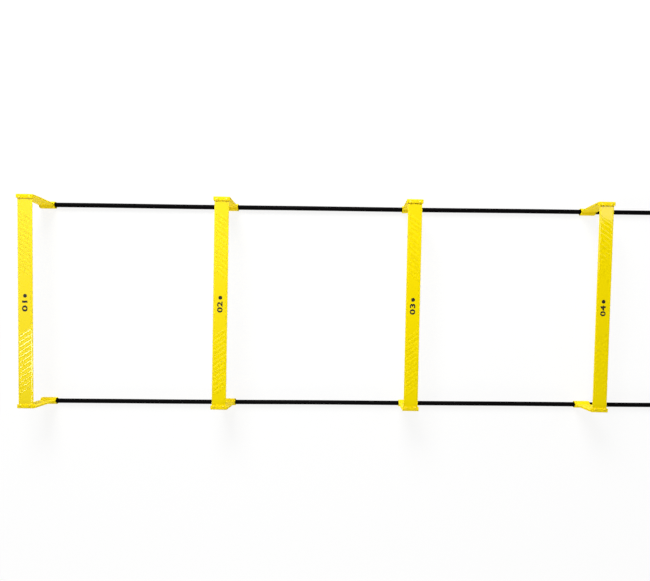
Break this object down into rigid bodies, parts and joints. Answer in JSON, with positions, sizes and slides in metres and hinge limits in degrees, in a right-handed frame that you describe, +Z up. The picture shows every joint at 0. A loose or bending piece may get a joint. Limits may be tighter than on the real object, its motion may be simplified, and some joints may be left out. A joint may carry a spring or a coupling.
{
  "type": "raised agility ladder",
  "caption": "Raised agility ladder: flat yellow slats stand across on strap legs, whose feet loop round two black side ropes, and the inner rungs slide along them.",
  "frame": {"origin": "centre of the ladder's footprint, on the floor", "axes": "+X along the ladder, from rung 1 to rung 8, +Y across it towards the left rope, +Z up"},
  "size_m": [2.763, 0.4378, 0.1034],
  "materials": {
    "slat": "glossy, with fine slanting grip ribs",
    "strap": "satin, close woven",
    "rivet": "satin",
    "rope": "smooth tight black sheath with a soft sheen"
  },
  "bodies": {
    "ladder": {"rope_left": "rope", "rope_right": "rope", "rung1_slat": "slat", "rung1_leg_left": "strap", "rung1_leg_right": "strap", "rung1_rivet_left_front": "rivet", "rung1_rivet_left_back": "rivet", "rung1_rivet_right_front": "rivet", "rung1_rivet_right_back": "rivet", "rung8_slat": "slat", "rung8_leg_left": "strap", "rung8_leg_right": "strap", "rung8_rivet_left_front": "rivet", "rung8_rivet_left_back": "rivet", "rung8_rivet_right_front": "rivet", "rung8_rivet_right_back": "rivet"},
    "rung2": {"rung2_slat": "slat", "rung2_leg_left": "strap", "rung2_leg_right": "strap", "rung2_rivet_left_front": "rivet", "rung2_rivet_left_back": "rivet", "rung2_rivet_right_front": "rivet", "rung2_rivet_right_back": "rivet"},
    "rung3": {"rung3_slat": "slat", "rung3_leg_left": "strap", "rung3_leg_right": "strap", "rung3_rivet_left_front": "rivet", "rung3_rivet_left_back": "rivet", "rung3_rivet_right_front": "rivet", "rung3_rivet_right_back": "rivet"},
    "rung4": {"rung4_slat": "slat", "rung4_leg_left": "strap", "rung4_leg_right": "strap", "rung4_rivet_left_front": "rivet", "rung4_rivet_left_back": "rivet", "rung4_rivet_right_front": "rivet", "rung4_rivet_right_back": "rivet"},
    "rung5": {"rung5_slat": "slat", "rung5_leg_left": "strap", "rung5_leg_right": "strap", "rung5_rivet_left_front": "rivet", "rung5_rivet_left_back": "rivet", "rung5_rivet_right_front": "rivet", "rung5_rivet_right_back": "rivet"},
    "rung6": {"rung6_slat": "slat", "rung6_leg_left": "strap", "rung6_leg_right": "strap", "rung6_rivet_left_front": "rivet", "rung6_rivet_left_back": "rivet", "rung6_rivet_right_front": "rivet", "rung6_rivet_right_back": "rivet"},
    "rung7": {"rung7_slat": "slat", "rung7_leg_left": "strap", "rung7_leg_right": "strap", "rung7_rivet_left_front": "rivet", "rung7_rivet_left_back": "rivet", "rung7_rivet_right_front": "rivet", "rung7_rivet_right_back": "rivet"}
  },
  "joints": [
    {"name": "rung2_slide", "type": "slide", "parent": "ladder", "child": "rung2", "axis": [1, 0, 0], "range_m": [-0.175, 0.175]},
    {"name": "rung3_slide", "type": "slide", "parent": "ladder", "child": "rung3", "axis": [1, 0, 0], "range_m": [-0.175, 0.175]},
    {"name": "rung4_slide", "type": "slide", "parent": "ladder", "child": "rung4", "axis": [1, 0, 0], "range_m": [-0.175, 0.175]},
    {"name": "rung5_slide", "type": "slide", "parent": "ladder", "child": "rung5", "axis": [1, 0, 0], "range_m": [-0.175, 0.175]},
    {"name": "rung6_slide", "type": "slide", "parent": "ladder", "child": "rung6", "axis": [1, 0, 0], "range_m": [-0.175, 0.175]},
    {"name": "rung7_slide", "type": "slide", "parent": "ladder", "child": "rung7", "axis": [1, 0, 0], "range_m": [-0.175, 0.175]}
  ]
}
